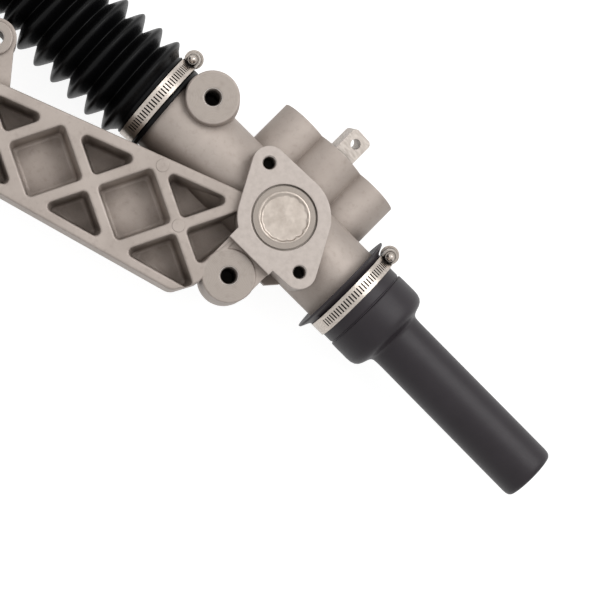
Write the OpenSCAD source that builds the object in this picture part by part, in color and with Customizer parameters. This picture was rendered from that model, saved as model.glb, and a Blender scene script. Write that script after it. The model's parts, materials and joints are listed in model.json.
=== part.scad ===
// Manual rack-and-pinion steering gear with a cast housing and a lattice mounting arm.
// X runs along the rack, Y along the pinion, Z points out of the machined front flange.
// The origin is the centre of that flange's face.

/* [Rack and pinion] */
// Diameter of the rack bar
rack_d = 26; // [25:0.5:27]
// Travel of the rack to each side of its middle
rack_travel = 66; // [50:1:70]
// Gear module of the rack and the pinion
gear_module = 1.9; // [1.8:0.05:2]
// Number of teeth on the pinion
pinion_teeth = 8; // [8:1:9]
// Profile shift of the pinion teeth, as a share of the module
profile_shift = 0.53; // [0.5:0.01:0.55]
// Play between the tooth flanks
backlash = 0.1; // [0.05:0.01:0.15]
// Place of the pinion's axis along the rack, from the flange's centre
pinion_x = -1.4; // [-2:0.1:0]
// Distance from the rack's axis to the tips of its teeth
rack_tip_height = 10.5; // [10:0.1:11]
// Length of the toothed part of the pinion
pinion_tooth_length = 25; // [22:1:27]
// Length of round bar between the bellows and the flat pad
rack_pad_gap = 5; // [3:0.5:10]
// Thickness of the flat pad that carries the tie rods
rack_pad_thickness = 16; // [14:1:18]
// Length of that flat pad
rack_pad_length = 44; // [40:1:46]
// Spacing of the two tie rod bolts
tie_rod_spacing = 24; // [22:1:26]
// Diameter of the tie rod bolt holes
tie_rod_hole_d = 10.5; // [10:0.5:11]

/* [Steering input] */
// Distance from the rack's axis to the tip of the input tongue
input_tip = 75.5; // [72:0.5:78]
// Width of the input tongue
tongue_w = 14.6; // [13.5:0.1:15.5]
// Thickness of the input tongue
tongue_t = 13; // [12:0.5:14]
// Length of the input tongue
tongue_length = 17; // [15:0.5:18]
// Turn of the tongue about the pinion's axis, with the rack in its middle
tongue_turn = 15; // [0:1:20]
// Diameter of the cross hole in the tongue
tongue_hole_d = 6.4; // [6:0.1:7]
// Distance from the tongue's tip to its cross hole
tongue_hole_inset = 7.2; // [6.5:0.1:8]

/* [Housing tube] */
// Outer diameter of the housing's tube
neck_d = 51.5; // [50:0.5:53]
// Bore of the housing around the rack
rack_bore_d = 30; // [29:0.5:31]
// Distance from the pinion's axis to the open end of the tube on the tie rod side
neck_left = 111; // [109:0.5:113]
// Distance from the pinion's axis to the covered end of the tube
neck_right = 68.5; // [68:0.5:69]
// Depth of the front flange's face above the rack's axis
rack_drop = 36; // [35:0.5:37]
// Radius of the cast edges
edge_r = 1.2; // [0.8:0.1:1.5]

/* [Front flange] */
// Radius of the flange around the plug
flange_r = 27.5; // [27:0.1:28.5]
// Radius of the two bolt ears
flange_ear_r = 10; // [9.5:0.1:11]
// Diameter of the circle through the two tapped holes
flange_pcd = 66; // [65:0.5:67]
// Angle of the line through the tapped holes from the rack
flange_angle = -30; // [-33:1:-27]
// Distance from the flange's centre to its straight edge above the boss
flange_foot = 30.3; // [29.5:0.1:31]
// Diameter of the tapped holes
flange_hole_d = 8; // [7:0.1:8.5]
// Depth of the tapped holes
flange_hole_depth = 20; // [16:1:22]

/* [Yoke] */
// Diameter of the yoke that presses the rack on the pinion
yoke_d = 34; // [33:0.5:34.5]
// Diameter of the threaded bore for the yoke plug
plug_bore_d = 38.8; // [38.2:0.1:39.5]
// Depth of the threaded bore
plug_bore_depth = 12; // [11:0.5:13]
// Height of the yoke plug
plug_h = 9; // [8:0.5:10]
// How far the plug lies below the flange's face
plug_recess = 0.6; // [0.3:0.1:1]
// Diameter of the stamped cap in the plug
cap_d = 29.3; // [28:0.1:30]
// Thickness of the liner between the yoke and the rack
liner_t = 1; // [0.8:0.1:1.2]

/* [Pinion tower] */
// Distance from the rack's axis to the tower's end face
tower_y = 56.3; // [55:0.1:58]
// Radius of the middle lobe
tower_mid_r = 20.5; // [20.3:0.1:21.5]
// Radius of the outer lobes
tower_side_r = 17; // [16:0.1:18]
// Distance from the pinion's axis to the outer lobes' axes
tower_side_x = 27.7; // [27:0.1:29]
// Diameter of the tapped holes in the outer lobes
tower_hole_d = 6.8; // [6.4:0.1:7]
// Depth of those tapped holes
tower_hole_depth = 18; // [15:1:20]
// Radius of the lower bearing's boss
foot_r = 18; // [17:0.1:19]
// Distance from the rack's axis to the end of that boss
foot_y = 32; // [31.5:0.1:33]

/* [Mounting bosses] */
// Height of the bosses' and the arm's front faces above the rack's axis
arm_front = 31; // [30:0.5:32]
// Radius of the two large bosses
boss_r = 16; // [15.5:0.1:16.5]
// Radius of the tube's boss at its foot, where its drafted side ends
boss_foot_r = 17.3; // [17:0.1:17.5]
// Diameter of the tapped holes in the two large bosses
boss_hole_d = 10.4; // [10.1:0.1:10.9]
// Depth of those tapped holes
boss_hole_depth = 34; // [30:1:36]
// Position of the boss on the tube, along the rack
tube_boss_x = -78.8; // [-80:0.1:-78]
// Position of the boss on the tube, across the rack
tube_boss_y = 21; // [20.8:0.1:21.6]
// Position of the boss below the flange, along the rack
flange_boss_x = 1; // [0:0.1:2]
// Position of the boss below the flange, across the rack
flange_boss_y = -46.4; // [-47.5:0.1:-46]
// Position of the eye at the arm's end, along the rack
eye_x = -192; // [-193:0.1:-191]
// Position of the eye at the arm's end, across the rack
eye_y = -43.5; // [-44.5:0.1:-43]
// Radius of the eye
eye_r = 12; // [11.5:0.1:12.5]
// Radius of the eye's raised seat
eye_seat_r = 8; // [7.5:0.1:9]
// Diameter of the eye's hole
eye_hole_d = 8.8; // [8.5:0.1:9]
// Length of the boss below the flange
boss_length = 39; // [37:0.5:41]

/* [Lattice arm] */
// Depth of the arm from front to back
arm_depth = 29; // [27:0.5:31]
// Thickness of the floor behind the pockets
arm_floor = 4.5; // [3.5:0.5:5.5]
// Width of the lattice ribs
rib_w = 6.6; // [6:0.1:7.2]
// Width of the arm's upper rim
top_rim = 7; // [6.5:0.1:8]
// Width of the arm's lower rim
bottom_rim = 5.8; // [5.4:0.1:7]
// Spacing of the lattice nodes
lattice_pitch = 56.9; // [56:0.1:57.5]
// Angle of the lattice's centreline to the rack
lattice_angle = 19; // [18.5:0.1:19.5]
// Draft of the pocket walls, in degrees
pocket_draft = 3; // [1:0.5:4]
// Corner radius of the pockets
pocket_r = 3; // [2:0.1:3.2]

/* [Bellows] */
// Number of convolutions
bellows_count = 13; // [11:1:14]
// Pitch of the convolutions
bellows_pitch = 13.4; // [13:0.1:13.6]
// Outer diameter of the bellows at the housing
bellows_d_big = 68; // [66:0.5:70]
// Outer diameter of the bellows at its far end
bellows_d_small = 58; // [56:0.5:60]
// Depth of a convolution
bellows_fold = 9; // [8:0.5:10]
// Thickness of the rubber
rubber_t = 2.2; // [2:0.1:2.4]
// Distance from the pinion's axis to the bellows' first fold
bellows_start = 108; // [107.5:0.5:108.5]
// Length of the bellows' cuff on the rack
small_cuff = 13; // [12:0.5:14]

/* [End cover] */
// Free space in the cover beyond the rack at the end of its travel
cover_gap = 3; // [2:0.5:6]
// Clearance between the rack's stop ring and the cover's tube
cover_clearance = 1; // [0.8:0.1:1.5]
// How far the cover's collar stands above its cuff
collar_rise = 1.3; // [1.1:0.1:2]
// How far the cover's flared lip stands above its cuff
lip_rise = 7; // [6:0.1:7.5]
// Distance from the pinion's axis to the cover's lip
cover_start = 52.3; // [52:0.1:53]

/* [Hose clamps] */
// Width of the clamp bands
band_w = 9; // [8.5:0.1:9.5]
// Thickness of the clamp bands
band_t = 0.9; // [0.8:0.05:1]
// Distance from the pinion's axis to the bellows' clamp
clamp_left = 101.4; // [101:0.1:102]
// Distance from the pinion's axis to the cover's clamp
clamp_right = 61.5; // [61:0.1:62]
// Width of the slots in the bands
slot_w = 0.9; // [0.8:0.05:1.1]
// Pitch of the slots in the bands
slot_pitch = 2; // [1.9:0.1:2.4]
// Diameter of the worm screws
worm_d = 6; // [5.6:0.1:6.4]
// Turn of the screws round the rack's axis, towards the front
worm_turn = 10; // [6:1:12]
// Skew of the bellows' clamp, as it was fitted
clamp_skew = 4; // [0:0.5:5]

/* [Fits] */
// Running clearance between a shaft and its bore, on the radius
running_gap = 0.05; // [0.03:0.01:0.08]
// Clearance between loose pieces
loose_gap = 0.3; // [0.25:0.05:0.4]

/* [Hidden] */
$fn = 72;

cast = "#a79e97";
machined = "#c7bdb7";
steel = "#b9bbbd";
black_rubber = "#232225";
stainless = "#d4d5d6";

rack_r = rack_d / 2;
neck_r = neck_d / 2;
slide = rack_travel + loose_gap;

// Gear geometry: the rack's datum line lies one addendum behind its tips.
pressure_angle = 20;
addendum = 0.8 * gear_module;
dedendum = 1.05 * gear_module;
pitch_r = gear_module * pinion_teeth / 2;
base_r = pitch_r * cos(pressure_angle);
shift = profile_shift * gear_module;
pinion_tip_r = pitch_r + shift + addendum;
pinion_root_r = pitch_r + shift - dedendum;
datum_height = rack_tip_height - addendum;
pinion_z = -(datum_height + shift + pitch_r);
tooth_pitch = PI * gear_module;
rack_root_height = datum_height - dedendum;
tooth_runout = 8;

// The upper bearing's rings, on the pinion.
bearing_d = 35;
bearing_bore_d = 15;
bearing_w = 11;
bearing_y = pinion_tooth_length / 2 + 6;
ball_d = 6;
ball_count = 9;
ball_track_r = (bearing_d + bearing_bore_d) / 4;
ring_t = 3;
circlip_t = 1.6;
seal_w = 7;
seal_y = bearing_y + bearing_w + circlip_t + 3;
// The lower needle bearing.
journal_d = 10;
needle_d = 2.5;
needle_count = 14;
needle_length = 10;
needle_cup_t = 1;
needle_cup_r = journal_d / 2 + needle_d + 2 * running_gap + needle_cup_t;
needle_y = -pinion_tooth_length / 2 - 3;
cap_t = 2;

// Boots and clamps.
cuff_r = neck_r + rubber_t;
band_r = cuff_r;
boot_lip_w = 3.2;
// How far the clamp presses into the bellows' cuff, which takes up its skew.
squeeze = 0.4;
boss_clearance = 0.3;
worm_gap = 0.3;
worm_wall = 0.9;
worm_y = band_r + 2 * band_t + worm_d / 2 + 0.1;
worm_length = 20;
worm_drop = 2;
thread_h = 0.7;
stop_w = 6;
stop_wall = 1.8;
stop_groove = 1.2;
small_r = rack_r + rubber_t;
bellows_length = bellows_count * bellows_pitch;
bellows_end = bellows_start + bellows_length;

// The rack's ends, and the cover that has to clear it.
rack_end_chamfer = 1.5;
rack_right = neck_right + slide + stop_w + rack_end_chamfer;
rack_left = bellows_end + small_cuff + rack_pad_gap + rack_pad_length;
cover_end = rack_right + rack_travel + cover_gap + rubber_t;
stop_left_x = -neck_left - slide - stop_w / 2;
stop_right_x = neck_right + slide + stop_w / 2;
tie_rod_x = -rack_left + rack_pad_length / 2 - 1;

function unit(v) = v / norm(v);
function turn_left(v) = [-v[1], v[0]];
function inward(a, b) = turn_left(unit(b - a));

// Moves every edge of a counter-clockwise outline inward by d.
function inset(pts, d) =
    let (n = len(pts))
    [for (i = [0:n - 1])
        let (
            n1 = inward(pts[(i + n - 1) % n], pts[i]),
            n2 = inward(pts[i], pts[(i + 1) % n])
        )
        pts[i] + (n1 + n2) * d / (1 + n1 * n2)];

// Rounds every corner of a convex counter-clockwise outline with radius r.
function rounded(pts, r, steps = 5) =
    let (n = len(pts))
    [for (i = [0:n - 1], k = [0:steps])
        let (
            back = unit(pts[(i + n - 1) % n] - pts[i]),
            ahead = unit(pts[(i + 1) % n] - pts[i]),
            half = acos(back * ahead) / 2,
            centre = pts[i] + unit(back + ahead) * r / sin(half),
            start = atan2(-turn_left(-back)[1], -turn_left(-back)[0]),
            angle = start + (180 - 2 * half) * k / steps
        )
        centre + r * [cos(angle), sin(angle)]];

// Points along an arc.
function arc(centre, r, a1, a2, steps) =
    [for (k = [0:steps])
        let (a = a1 + (a2 - a1) * k / steps)
        centre + r * [cos(a), sin(a)]];

// Joins closed rings of equal length, listed from the bottom up, into one solid.
module loft(rings) {
    n = len(rings[0]);
    levels = len(rings);
    polyhedron(
        points = [for (ring = rings) for (p = ring) p],
        faces = concat(
            [[for (i = [0:n - 1]) i]],
            [for (l = [0:levels - 2], i = [0:n - 1])
                [l * n + i, (l + 1) * n + i, (l + 1) * n + (i + 1) % n, l * n + (i + 1) % n]],
            [[for (i = [0:n - 1]) (levels - 1) * n + n - 1 - i]]),
        convexity = 4);
}

// One level of a loft: the outline moved inward by d, rounded, at height z.
function level(pts, d, r, z) = [for (p = rounded(inset(pts, d), r)) [p[0], p[1], z]];

// A cast pocket: drafted walls, a rounded floor and a rounded upper edge.
module pocket(pts, r, floor_z, face_z) {
    floor_r = 2.5;
    slope = tan(pocket_draft);
    depth = face_z - floor_z;
    loft(concat(
        [for (a = [0, 30, 60])
            level(pts, slope * (depth - floor_r) + floor_r * (1 - sin(a)), max(r - 0.8, 1),
                floor_z + floor_r * (1 - cos(a)))],
        [level(pts, slope * (depth - floor_r), r, floor_z + floor_r)],
        [level(pts, 0, r, face_z - edge_r)],
        [for (a = [45, 90])
            level(pts, -edge_r * (1 - cos(a)), r + edge_r * (1 - cos(a)), face_z - edge_r * (1 - sin(a)))],
        [level(pts, -edge_r, r + edge_r, face_z + 1)]));
}

// A cast block with a rounded front edge.
module block(pts, r, back_z, face_z) {
    loft(concat(
        [level(pts, 0, r, back_z)],
        [for (a = [0, 30, 60, 90])
            level(pts, edge_r * (1 - cos(a)), r - edge_r * (1 - cos(a)), face_z - edge_r * (1 - sin(a)))]));
}

// A disc standing on z1 with a rounded upper edge at z2.
module round_disc(r, z1, z2, e) {
    translate([0, 0, z1]) rotate_extrude()
        union() {
            square([r - e, z2 - z1]);
            square([r, z2 - z1 - e]);
            translate([r - e, z2 - z1 - e]) circle(e, $fn = 24);
        }
}

// A hole with a chamfered mouth: from z1 up to z2, where it opens.
module chamfered_hole(d, z1, z2, c) {
    translate([0, 0, z1]) cylinder(d = d, h = z2 - z1 + 1);
    translate([0, 0, z2 - c]) cylinder(d1 = d, d2 = d + 2 * c + 2 * c, h = 2 * c);
}

module on_rack() {
    translate([0, 0, -rack_drop]) children();
}

// Lays a profile of (distance along the rack, radius) round the rack's axis.
module along_x(x) {
    translate([x, 0, 0]) rotate([90, 0, 90]) children();
}

// Lays a child drawn along Z on the pinion's axis, with Z along +Y from y.
module along_pinion(y) {
    translate([pinion_x, y, pinion_z]) rotate([-90, 0, 0]) children();
}

// Lattice geometry: u runs along the centreline from the node nearest the flange.
lattice_dir = [cos(lattice_angle), sin(lattice_angle)];
lattice_up = turn_left(lattice_dir);
first_node = [-40.2, -46.6];
function lattice(u, v) = first_node + u * lattice_dir + v * lattice_up;
function to_lattice(p) = [(p - first_node) * lattice_dir, (p - first_node) * lattice_up];

arm_bottom_right = [-16.3, -76.3];
arm_bottom_left = [-191, -124.8];
arm_outer = [-214, -107];
arm_top_left = [-203, -72.8];
arm_top_right = [-12, 0];
arm_right = [-8.6, -62];
arm_outline = [arm_bottom_left, arm_bottom_right, arm_right, arm_top_right, arm_top_left,
    arm_outer];

// The straight line through the rim's inner edge, as v = line[0] + line[1] * u.
function rim_line(a, b, width) =
    let (
        p = to_lattice(a),
        q = to_lattice(b),
        slope = (q[1] - p[1]) / (q[0] - p[0])
    )
    [p[1] - slope * p[0] + width * sqrt(1 + slope * slope), slope];
top_line = rim_line(arm_top_left, arm_top_right, -top_rim);
bottom_line = rim_line(arm_bottom_left, arm_bottom_right, bottom_rim);
half_rib = rib_w / sqrt(2);

// Where a 45 degree rib side that starts at node u0 meets a rim line; side is +1 or -1 along u,
// up is +1 towards the upper rim and -1 towards the lower one.
function rib_meets(u0, line, side, up) =
    let (
        k = side * up * line[1],
        v = (line[0] + line[1] * (u0 - side * half_rib)) / (1 - k)
    )
    [u0 + side * (up * v - half_rib), v];

module lattice_diamond(i) {
    mid = -(i + 0.5) * lattice_pitch;
    reach = lattice_pitch / 2 - half_rib;
    pocket([lattice(mid - reach, 0), lattice(mid, -reach), lattice(mid + reach, 0), lattice(mid, reach)],
        pocket_r, arm_pocket_z, arm_front);
}

module upper_triangle(i) {
    u0 = -i * lattice_pitch;
    left = rib_meets(u0, top_line, -1, 1);
    right = rib_meets(u0, top_line, 1, 1);
    pocket([lattice(u0, half_rib), lattice(right[0], right[1]), lattice(left[0], left[1])],
        pocket_r, arm_pocket_z, arm_front);
}

module lower_triangle(i) {
    u0 = -i * lattice_pitch;
    left = rib_meets(u0, bottom_line, -1, -1);
    right = rib_meets(u0, bottom_line, 1, -1);
    pocket([lattice(u0, -half_rib), lattice(left[0], left[1]), lattice(right[0], right[1])],
        pocket_r, arm_pocket_z, arm_front);
}

arm_back = arm_front - arm_depth;
arm_pocket_z = arm_back + arm_floor;
flange_ear = flange_pcd / 2 * [cos(flange_angle), sin(flange_angle)];
// The pocket between the lattice's first node and the web of the flange boss.
web_corner = first_node + half_rib * lattice_dir;
web_pocket = [web_corner, [-15.5, -55], web_corner + 64 * [cos(lattice_angle + 45), sin(lattice_angle + 45)]];

// The flange's outline: the arcs round the ears and the plug, with tangent sides.
flange_lean = acos((flange_r - flange_ear_r) / norm(flange_ear));
foot_left = flange_boss_x - boss_r;
foot_right = flange_boss_x + boss_r;
flange_side = flange_angle + 180 + flange_lean;
flange_outline = concat(
    arc(flange_ear, flange_ear_r, flange_angle - flange_lean, flange_angle + flange_lean, 14),
    arc([0, 0], flange_r, flange_angle + flange_lean, flange_angle + 180 - flange_lean, 12),
    arc(-flange_ear, flange_ear_r, flange_angle + 180 - flange_lean, flange_side, 14),
    arc([0, 0], flange_r, flange_side, 360 - acos(foot_left / flange_r), 6),
    [[foot_left, -flange_foot], [foot_right, -flange_foot], [foot_right, -flange_foot + 3.3]]);

column_base = 12;
tower_base = 3;
foot_overlap = 9;
tube_boss_back = -neck_r - 0.8;
// Height above the rack's axis at which the tube boss's drafted side starts.
boss_foot_z = 14;
web_drop = 5.6;
// The small gusset between that web and the tube.
gusset_t = 8;
gusset = [[8, -21], [8, -33.6], [20.2, -33.6], [26, -27], [26, -21]];
eye_drop = 3;
// The web from the eye to the arm's upper rim.
eye_web = [[-200, -43.5], [-201, -78], [-163.8, -61], [-178.6, -42.9], [-186, -34]];

module tower_2d() {
    circle(tower_mid_r);
    for (s = [-1, 1]) translate([s * tower_side_x, 0]) circle(tower_side_r);
}

module housing_solid() {
    // The tube around the rack
    along_x(-neck_left) cylinder(r = neck_r, h = neck_left + neck_right);
    // The machined flange and the column behind it
    translate([0, 0, column_base]) linear_extrude(rack_drop - column_base) polygon(flange_outline);
    // The tower for the pinion and the boss for its lower bearing
    along_pinion(tower_base) linear_extrude(tower_y - tower_base) tower_2d();
    along_pinion(-foot_y) cylinder(r = foot_r, h = foot_y + foot_overlap);
    // The bosses
    translate([tube_boss_x, tube_boss_y, 0])
        rotate_extrude() polygon(concat(
            [[0, tube_boss_back], [boss_foot_r, tube_boss_back], [boss_foot_r, boss_foot_z]],
            [for (a = [0:30:90]) [boss_r - edge_r + edge_r * cos(a), arm_front - edge_r + edge_r * sin(a)]],
            [[0, arm_front]]));
    translate([flange_boss_x, flange_boss_y, 0])
        round_disc(boss_r, arm_front - boss_length, arm_front, edge_r);
    translate([foot_left + 0.4, flange_boss_y, arm_back + 1])
        cube([2 * boss_r - 0.8, -flange_boss_y - 10, rack_drop - web_drop - arm_back - 1]);
    translate([0, 0, arm_back + 2]) linear_extrude(gusset_t) polygon(gusset);
    // The arm and its eye
    difference() {
        block(arm_outline, 8, arm_back, arm_front);
        lattice_pockets();
    }
    translate([0, 0, arm_back + 6]) linear_extrude(arm_depth - 12) polygon(eye_web);
    translate([eye_x, eye_y, arm_back + 6]) cylinder(r = eye_r, h = arm_depth - 12);
    translate([eye_x, eye_y, 0])
        round_disc(eye_seat_r + 2, arm_back, arm_front - eye_drop, edge_r);
}

module housing_holes() {
    // The rack's bore and the seats of its bushes
    along_x(-neck_left - 1) cylinder(d = rack_bore_d, h = neck_left + neck_right + 2);
    along_x(-neck_left - 1) cylinder(r = bush_r, h = bush_length + 1);
    along_x(neck_right - bush_length) cylinder(r = bush_r, h = bush_length + 1);
    // The yoke's bore and the thread for its plug
    cylinder(d = yoke_d + 2 * running_gap, h = rack_drop + 1);
    translate([0, 0, rack_drop - plug_bore_depth]) cylinder(d = plug_bore_d, h = plug_bore_depth + 1);
    translate([0, 0, rack_drop - 0.3]) cylinder(d1 = plug_bore_d, d2 = plug_bore_d + 1.2, h = 0.6);
    for (s = [-1, 1]) translate([s * flange_ear[0], s * flange_ear[1], 0])
        chamfered_hole(flange_hole_d, rack_drop - flange_hole_depth, rack_drop, 0.3);
    // The pinion's bores
    along_pinion(needle_y - 2) cylinder(r = pinion_tip_r + 1, h = bearing_y - needle_y + 3);
    along_pinion(-foot_y - 1) cylinder(r = needle_cup_r, h = foot_y);
    along_pinion(bearing_y) cylinder(d = bearing_d, h = tower_y);
    for (s = [-1, 1]) translate([s * tower_side_x, 0, 0]) along_pinion(tower_y - tower_hole_depth)
        chamfered_hole(tower_hole_d, 0, tower_hole_depth, 0.3);
    along_pinion(bearing_y + bearing_w) cylinder(r = bearing_d / 2 + 1, h = circlip_t);
    // The bolt holes
    translate([tube_boss_x, tube_boss_y, 0])
        chamfered_hole(boss_hole_d, arm_front - boss_hole_depth, arm_front, 0.7);
    translate([flange_boss_x, flange_boss_y, 0])
        chamfered_hole(boss_hole_d, arm_front - boss_hole_depth, arm_front, 0.7);
    translate([eye_x, eye_y, 0])
        chamfered_hole(eye_hole_d, arm_back - 1, arm_front - eye_drop, 0.6);
}

bush_t = 2;
bush_length = 16;
bush_r = rack_r + running_gap + bush_t;

module lattice_pockets() {
    for (i = [0:2]) lattice_diamond(i);
    for (i = [0:2]) upper_triangle(i);
    for (i = [0:2]) lower_triangle(i);
    pocket(web_pocket, pocket_r, arm_pocket_z, arm_front);
}

module rack_housing() {
    color(cast) on_rack() difference() {
        housing_solid();
        housing_holes();
    }
}

// One flank of a pinion tooth: the half angle that the tooth spans at radius r.
function involute(a) = tan(a) - a * PI / 180;
tooth_half_angle = (gear_module * (PI / 2 + 2 * profile_shift * tan(pressure_angle)) - backlash)
    / (2 * pitch_r) * 180 / PI;
function flank_angle(r) =
    tooth_half_angle + (involute(pressure_angle) - involute(acos(base_r / r))) * 180 / PI;

module pinion_2d() {
    steps = 6;
    radii = [for (k = [0:steps]) base_r + (pinion_tip_r - base_r) * k / steps];
    tooth = concat(
        [[pinion_root_r - 0.5, flank_angle(base_r)]],
        [for (r = radii) [r, flank_angle(r)]],
        [for (k = [steps:-1:0]) [radii[k], -flank_angle(radii[k])]],
        [[pinion_root_r - 0.5, -flank_angle(base_r)]]);
    circle(pinion_root_r);
    for (i = [0:pinion_teeth - 1]) rotate(90 + i * 360 / pinion_teeth)
        polygon([for (p = tooth) p[0] * [cos(p[1]), sin(p[1])]]);
}

// The spaces between the rack's teeth, cut from below.
module rack_spaces() {
    reach = rack_travel + tooth_runout;
    count = floor(reach / tooth_pitch);
    below_tips = 4;
    half_tip = tooth_pitch / 4 + below_tips * tan(pressure_angle);
    half_root = tooth_pitch / 4 - dedendum * tan(pressure_angle);
    for (i = [-count:count]) translate([pinion_x + i * tooth_pitch, 0, 0])
        rotate([90, 0, 0]) linear_extrude(rack_d + 2, center = true)
            polygon([[-half_root, -rack_root_height], [-half_tip, -datum_height - below_tips],
                [half_tip, -datum_height - below_tips], [half_root, -rack_root_height]]);
}

module rack_bar() {
    reach = rack_travel + tooth_runout + tooth_pitch / 2;
    color(steel) on_rack() difference() {
        union() {
            along_x(-rack_left + rack_pad_length / 2)
                cylinder(r = rack_r, h = rack_left + rack_right - rack_pad_length / 2 - rack_end_chamfer);
            along_x(rack_right - rack_end_chamfer)
                cylinder(r1 = rack_r, r2 = rack_r - rack_end_chamfer, h = rack_end_chamfer);
            // The pad that the tie rods bolt to
            intersection() {
                along_x(-rack_left) cylinder(r = rack_r, h = rack_pad_length);
                translate([-rack_left, -rack_r, -rack_pad_thickness / 2])
                    cube([rack_pad_length + 1, rack_d, rack_pad_thickness]);
            }
        }
        translate([-rack_left - 1, -rack_r, rack_pad_thickness / 2])
            cube([rack_pad_length + 1, rack_d, rack_r]);
        translate([-rack_left - 1, -rack_r, -rack_pad_thickness / 2 - rack_r])
            cube([rack_pad_length + 1, rack_d, rack_r]);
        for (s = [-1, 1]) translate([tie_rod_x + s * tie_rod_spacing / 2, 0, -rack_r])
            cylinder(d = tie_rod_hole_d, h = rack_d);
        // The flat that the teeth stand on, and the spaces between them
        translate([pinion_x - reach, -rack_r, -rack_tip_height - rack_r]) cube([2 * reach, rack_d, rack_r]);
        rack_spaces();
        // Grooves for the stop rings
        for (x = [stop_left_x - stop_w / 2, stop_right_x - stop_w / 2]) along_x(x)
            difference() {
                cylinder(r = rack_r + 1, h = stop_w);
                translate([0, 0, -1]) cylinder(r = rack_r - stop_groove, h = stop_w + 2);
            }
    }
}

// A plain bush pressed into the housing.
module bush(x) {
    color("#8f7a4e") on_rack() along_x(x) difference() {
        cylinder(r = bush_r, h = bush_length);
        translate([0, 0, -1]) cylinder(r = rack_r + running_gap, h = bush_length + 2);
        translate([0, 0, -0.01]) cylinder(r1 = rack_r + 1, r2 = rack_r, h = 1);
    }
}
module rack_bush_left() {
    bush(-neck_left);
}
module rack_bush_right() {
    bush(neck_right - bush_length);
}

// A rubber-faced ring that stops the rack at the end of its travel.
module stop_ring(x) {
    color("#3a3a3c") on_rack() along_x(x - stop_w / 2) difference() {
        cylinder(r = rack_r + stop_wall, h = stop_w);
        translate([0, 0, -1]) cylinder(r = rack_r - stop_groove, h = stop_w + 2);
    }
}
module rack_stop_left() {
    stop_ring(stop_left_x);
}
module rack_stop_right() {
    stop_ring(stop_right_x);
}

// The tongue's own turn about the pinion's axis, with the rack in its middle.
module at_tongue() {
    translate([pinion_x, 0, pinion_z]) rotate([0, tongue_turn, 0]) children();
}

module pinion_shaft() {
    journal_start = -foot_y + cap_t + 2;
    neck_y = bearing_y + bearing_w + circlip_t;
    tongue_y = input_tip - tongue_length;
    color(steel) on_rack() {
        difference() {
            union() {
                along_pinion(-pinion_tooth_length / 2) linear_extrude(pinion_tooth_length)
                    mirror([0, 1, 0]) pinion_2d();
                along_pinion(journal_start) cylinder(d = journal_d, h = -journal_start);
                along_pinion(0) cylinder(r = pinion_root_r, h = bearing_y - 3);
                along_pinion(bearing_y - 3) cylinder(d = bearing_bore_d + 4, h = 3);
                along_pinion(bearing_y - 3) cylinder(d = bearing_bore_d, h = tongue_y - bearing_y + 3);
                along_pinion(neck_y) cylinder(d = bearing_bore_d + 3, h = tongue_y - neck_y);
                // The tongue, flat on two sides with rounded corners
                at_tongue() translate([-tongue_w / 2, tongue_y - 2, -tongue_t / 2]) tongue_block();
            }
            at_tongue() translate([0, input_tip - tongue_hole_inset, -tongue_t])
                cylinder(d = tongue_hole_d, h = 2 * tongue_t);
        }
    }
}

module tongue_block() {
    corner = 3;
    length = tongue_length + 2;
    linear_extrude(tongue_t) union() {
        square([tongue_w, length - corner]);
        translate([corner, 0]) square([tongue_w - 2 * corner, length]);
        for (x = [corner, tongue_w - corner]) translate([x, length - corner]) circle(corner);
    }
}

// Rings of the ball bearing, each with its track.
module ball_track() {
    rotate_extrude() translate([ball_track_r, bearing_w / 2]) circle(ball_d / 2 + running_gap, $fn = 36);
}
module bearing_outer_ring() {
    color(steel) on_rack() along_pinion(bearing_y) difference() {
        cylinder(d = bearing_d, h = bearing_w);
        translate([0, 0, -1]) cylinder(r = bearing_d / 2 - ring_t, h = bearing_w + 2);
        ball_track();
    }
}
module bearing_inner_ring() {
    color(steel) on_rack() along_pinion(bearing_y) difference() {
        cylinder(r = bearing_bore_d / 2 + ring_t, h = bearing_w);
        translate([0, 0, -1]) cylinder(d = bearing_bore_d, h = bearing_w + 2);
        ball_track();
    }
}
module bearing_balls() {
    color(steel) on_rack() along_pinion(bearing_y + bearing_w / 2)
        for (i = [0:ball_count - 1]) rotate(i * 360 / ball_count)
            translate([ball_track_r, 0, 0]) sphere(d = ball_d - 2 * running_gap, $fn = 36);
}
module bearing_cage() {
    cage_t = 1.6;
    color("#8f7a4e") on_rack() along_pinion(bearing_y + bearing_w / 2) difference() {
        translate([0, 0, -ball_d * 0.7]) cylinder(r = ball_track_r + cage_t / 2, h = ball_d * 1.4);
        translate([0, 0, -ball_d]) cylinder(r = ball_track_r - cage_t / 2, h = ball_d * 2);
        for (i = [0:ball_count - 1]) rotate(i * 360 / ball_count)
            rotate([0, 90, 0]) cylinder(d = ball_d + running_gap, h = ball_track_r + cage_t, $fn = 36);
    }
}

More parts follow.
